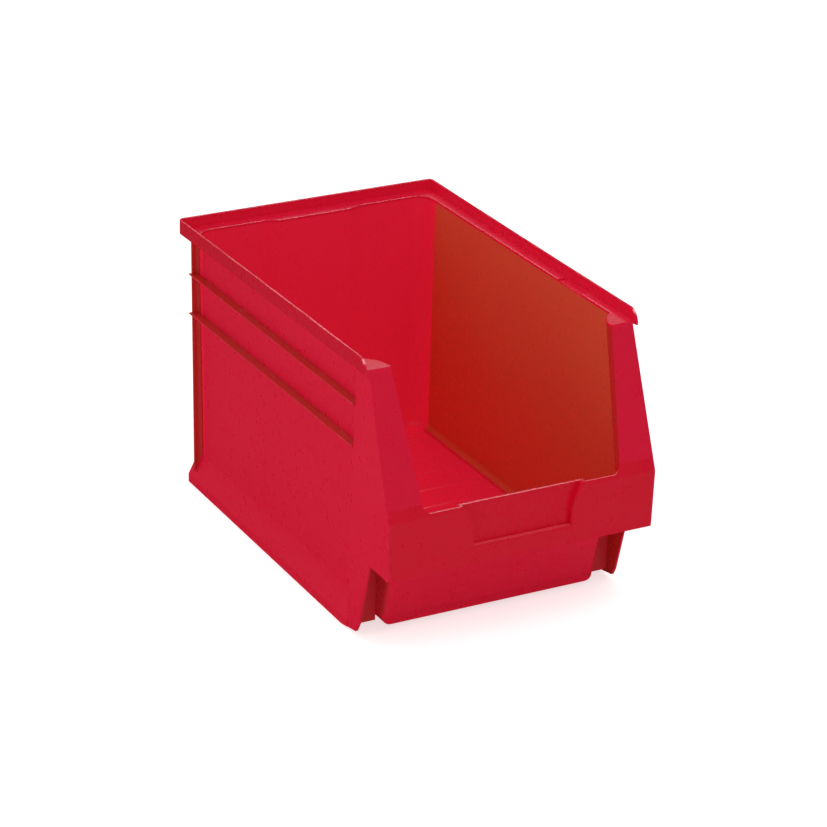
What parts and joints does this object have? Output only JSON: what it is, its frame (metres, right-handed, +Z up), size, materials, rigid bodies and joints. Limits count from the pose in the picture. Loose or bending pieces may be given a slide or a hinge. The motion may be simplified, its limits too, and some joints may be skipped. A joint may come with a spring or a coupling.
{
  "type": "stackable storage bin",
  "caption": "Deep open-front stacking bin moulded in red plastic, with an upright rim around a stacking shelf, leaning front frame, label pocket and foot rails.",
  "frame": {"origin": "centre of the footprint, on the ground", "axes": "+Z up; -Y out of the open front; +X to the bin's right side seen from behind the front opening, looking in from the front"},
  "size_m": [0.216, 0.336, 0.212],
  "materials": {
    "red_plastic": "satin, finely mottled, with lighter worn edges"
  },
  "bodies": {
    "root": {"back_wall": "red_plastic", "floor_pan": "red_plastic", "floor_ribs": "red_plastic", "front_lip": "red_plastic", "front_step": "red_plastic", "label_pocket": "red_plastic", "left_base_rail": "red_plastic", "left_front_post": "red_plastic", "left_gusset": "red_plastic", "left_lower_rib": "red_plastic", "left_pillar": "red_plastic", "left_rear_fin": "red_plastic", "left_upper_rib": "red_plastic", "left_wall": "red_plastic", "left_web": "red_plastic", "nose_foot": "red_plastic", "nose_wall": "red_plastic", "right_base_rail": "red_plastic", "right_front_post": "red_plastic", "right_gusset": "red_plastic", "right_lower_rib": "red_plastic", "right_pillar": "red_plastic", "right_rear_fin": "red_plastic", "right_upper_rib": "red_plastic", "right_wall": "red_plastic", "right_web": "red_plastic", "rim_lip": "red_plastic", "stacking_shelf": "red_plastic"}
  },
  "joints": []
}
